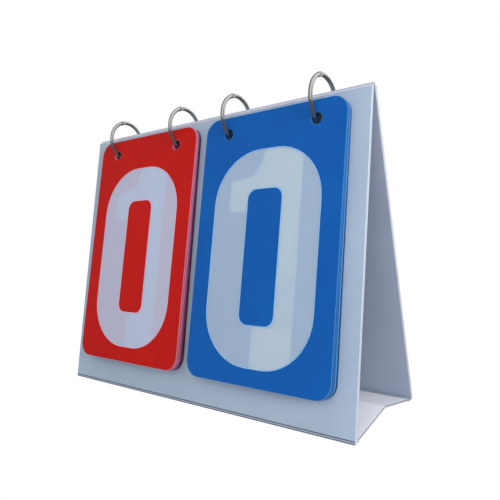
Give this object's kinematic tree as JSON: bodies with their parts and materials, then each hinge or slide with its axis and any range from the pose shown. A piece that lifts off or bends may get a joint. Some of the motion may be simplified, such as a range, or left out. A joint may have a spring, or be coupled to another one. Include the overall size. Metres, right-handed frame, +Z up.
{
  "type": "tabletop flip scoreboard",
  "caption": "Folding A-frame tabletop scoreboard with two piles of numbered plastic leaves hung on loose-leaf rings.",
  "frame": {"origin": "on the table, under the middle of the whole object's width and depth", "axes": "+X along the ridge to a reader's right, -Y towards the reader of the front, +Z up"},
  "size_m": [0.2, 0.0675, 0.1647],
  "materials": {
    "cover_paper": "satin",
    "hinge_paper": "satin",
    "greyboard": "matte",
    "red_plastic": "gloss",
    "blue_plastic": "gloss",
    "ring": "polished",
    "rivet": "satin"
  },
  "bodies": {
    "front_panel": {"front_board": "greyboard", "front_cover": "cover_paper", "front_ridge_strip": "hinge_paper", "front_foot_strip": "hinge_paper"},
    "rear_panel": {"rear_board": "greyboard", "rear_cover": "cover_paper", "rear_ridge_strip": "hinge_paper", "rear_foot_strip": "hinge_paper"},
    "front_flap": {"front_flap_board": "greyboard", "front_flap_cover": "cover_paper"},
    "rear_flap": {"rear_flap_board": "greyboard", "rear_flap_cover": "cover_paper"},
    "red_leaf_9": {"red_leaf_9": "red_plastic"},
    "red_leaf_8": {"red_leaf_8": "red_plastic"},
    "red_leaf_7": {"red_leaf_7": "red_plastic"},
    "red_leaf_6": {"red_leaf_6": "red_plastic"},
    "red_leaf_5": {"red_leaf_5": "red_plastic"},
    "red_leaf_4": {"red_leaf_4": "red_plastic"},
    "red_leaf_3": {"red_leaf_3": "red_plastic"},
    "red_leaf_2": {"red_leaf_2": "red_plastic"},
    "red_leaf_1": {"red_leaf_1": "red_plastic"},
    "red_rings": {"red_left_ring_front_half": "ring", "red_left_ring_rear_half": "ring", "red_left_ring_rivet": "rivet", "red_right_ring_front_half": "ring", "red_right_ring_rear_half": "ring", "red_right_ring_rivet": "rivet"},
    "red_leaf_0": {"red_leaf_0": "red_plastic"},
    "blue_leaf_9": {"blue_leaf_9": "blue_plastic"},
    "blue_leaf_8": {"blue_leaf_8": "blue_plastic"},
    "blue_leaf_7": {"blue_leaf_7": "blue_plastic"},
    "blue_leaf_6": {"blue_leaf_6": "blue_plastic"},
    "blue_leaf_5": {"blue_leaf_5": "blue_plastic"},
    "blue_leaf_4": {"blue_leaf_4": "blue_plastic"},
    "blue_leaf_3": {"blue_leaf_3": "blue_plastic"},
    "blue_leaf_2": {"blue_leaf_2": "blue_plastic"},
    "blue_leaf_1": {"blue_leaf_1": "blue_plastic"},
    "blue_rings": {"blue_left_ring_front_half": "ring", "blue_left_ring_rear_half": "ring", "blue_left_ring_rivet": "rivet", "blue_right_ring_front_half": "ring", "blue_right_ring_rear_half": "ring", "blue_right_ring_rivet": "rivet"},
    "blue_leaf_0": {"blue_leaf_0": "blue_plastic"}
  },
  "joints": [
    {"name": "ridge_fold", "type": "hinge", "parent": "front_panel", "child": "rear_panel", "pos_m": [0, 0.00165, 0.155], "axis": [1, 0, 0], "range_deg": [-19, 0]},
    {"name": "front_flap_fold", "type": "hinge", "parent": "front_panel", "child": "front_flap", "pos_m": [0, -0.02635, 0.0003], "axis": [1, 0, 0], "range_deg": [0, 70]},
    {"name": "rear_flap_fold", "type": "hinge", "parent": "rear_panel", "child": "rear_flap", "pos_m": [0, 0.02965, 0.0003], "axis": [1, 0, 0], "range_deg": [-70, 0]},
    {"name": "red_leaf_9_turn", "type": "hinge", "parent": "front_panel", "child": "red_leaf_9", "pos_m": [0, 0.00165, 0.1516], "axis": [-1, 0, 0], "range_deg": [0, 180]},
    {"name": "red_leaf_8_turn", "type": "hinge", "parent": "red_leaf_9", "child": "red_leaf_8", "pos_m": [0, 0.00165, 0.1516], "axis": [-1, 0, 0], "range_deg": [0, 180]},
    {"name": "red_leaf_7_turn", "type": "hinge", "parent": "red_leaf_8", "child": "red_leaf_7", "pos_m": [0, 0.00165, 0.1516], "axis": [-1, 0, 0], "range_deg": [0, 180]},
    {"name": "red_leaf_6_turn", "type": "hinge", "parent": "red_leaf_7", "child": "red_leaf_6", "pos_m": [0, 0.00165, 0.1516], "axis": [-1, 0, 0], "range_deg": [0, 180]},
    {"name": "red_leaf_5_turn", "type": "hinge", "parent": "red_leaf_6", "child": "red_leaf_5", "pos_m": [0, 0.00165, 0.1516], "axis": [-1, 0, 0], "range_deg": [0, 180]},
    {"name": "red_leaf_4_turn", "type": "hinge", "parent": "red_leaf_5", "child": "red_leaf_4", "pos_m": [0, 0.00165, 0.1516], "axis": [-1, 0, 0], "range_deg": [0, 180]},
    {"name": "red_leaf_3_turn", "type": "hinge", "parent": "red_leaf_4", "child": "red_leaf_3", "pos_m": [0, 0.00165, 0.1516], "axis": [-1, 0, 0], "range_deg": [0, 180]},
    {"name": "red_leaf_2_turn", "type": "hinge", "parent": "red_leaf_3", "child": "red_leaf_2", "pos_m": [0, 0.00165, 0.1516], "axis": [-1, 0, 0], "range_deg": [0, 180]},
    {"name": "red_leaf_1_turn", "type": "hinge", "parent": "red_leaf_2", "child": "red_leaf_1", "pos_m": [0, 0.00165, 0.1516], "axis": [-1, 0, 0], "range_deg": [0, 180]},
    {"name": "red_rings_slide", "type": "hinge", "parent": "red_leaf_1", "child": "red_rings", "pos_m": [0, 0.00165, 0.1516], "axis": [-1, 0, 0], "range_deg": [0, 289]},
    {"name": "red_leaf_0_turn", "type": "hinge", "parent": "red_rings", "child": "red_leaf_0", "pos_m": [0, -0.00675, 0.14303], "axis": [-1, 0, 0], "range_deg": [0, 48]},
    {"name": "blue_leaf_9_turn", "type": "hinge", "parent": "front_panel", "child": "blue_leaf_9", "pos_m": [0, 0.00165, 0.1516], "axis": [-1, 0, 0], "range_deg": [0, 180]},
    {"name": "blue_leaf_8_turn", "type": "hinge", "parent": "blue_leaf_9", "child": "blue_leaf_8", "pos_m": [0, 0.00165, 0.1516], "axis": [-1, 0, 0], "range_deg": [0, 180]},
    {"name": "blue_leaf_7_turn", "type": "hinge", "parent": "blue_leaf_8", "child": "blue_leaf_7", "pos_m": [0, 0.00165, 0.1516], "axis": [-1, 0, 0], "range_deg": [0, 180]},
    {"name": "blue_leaf_6_turn", "type": "hinge", "parent": "blue_leaf_7", "child": "blue_leaf_6", "pos_m": [0, 0.00165, 0.1516], "axis": [-1, 0, 0], "range_deg": [0, 180]},
    {"name": "blue_leaf_5_turn", "type": "hinge", "parent": "blue_leaf_6", "child": "blue_leaf_5", "pos_m": [0, 0.00165, 0.1516], "axis": [-1, 0, 0], "range_deg": [0, 180]},
    {"name": "blue_leaf_4_turn", "type": "hinge", "parent": "blue_leaf_5", "child": "blue_leaf_4", "pos_m": [0, 0.00165, 0.1516], "axis": [-1, 0, 0], "range_deg": [0, 180]},
    {"name": "blue_leaf_3_turn", "type": "hinge", "parent": "blue_leaf_4", "child": "blue_leaf_3", "pos_m": [0, 0.00165, 0.1516], "axis": [-1, 0, 0], "range_deg": [0, 180]},
    {"name": "blue_leaf_2_turn", "type": "hinge", "parent": "blue_leaf_3", "child": "blue_leaf_2", "pos_m": [0, 0.00165, 0.1516], "axis": [-1, 0, 0], "range_deg": [0, 180]},
    {"name": "blue_leaf_1_turn", "type": "hinge", "parent": "blue_leaf_2", "child": "blue_leaf_1", "pos_m": [0, 0.00165, 0.1516], "axis": [-1, 0, 0], "range_deg": [0, 180]},
    {"name": "blue_rings_slide", "type": "hinge", "parent": "blue_leaf_1", "child": "blue_rings", "pos_m": [0, 0.00165, 0.1516], "axis": [-1, 0, 0], "range_deg": [0, 289]},
    {"name": "blue_leaf_0_turn", "type": "hinge", "parent": "blue_rings", "child": "blue_leaf_0", "pos_m": [0, -0.00675, 0.14303], "axis": [-1, 0, 0], "range_deg": [0, 48]}
  ],
  "couplings": [
    {"joint": "front_flap_fold", "follows": "ridge_fold", "ratio": -3.6842},
    {"joint": "rear_flap_fold", "follows": "ridge_fold", "ratio": 3.6842},
    {"joint": "red_leaf_0_turn", "follows": "red_rings_slide", "ratio": 0.16579},
    {"joint": "blue_leaf_0_turn", "follows": "blue_rings_slide", "ratio": 0.16579}
  ]
}
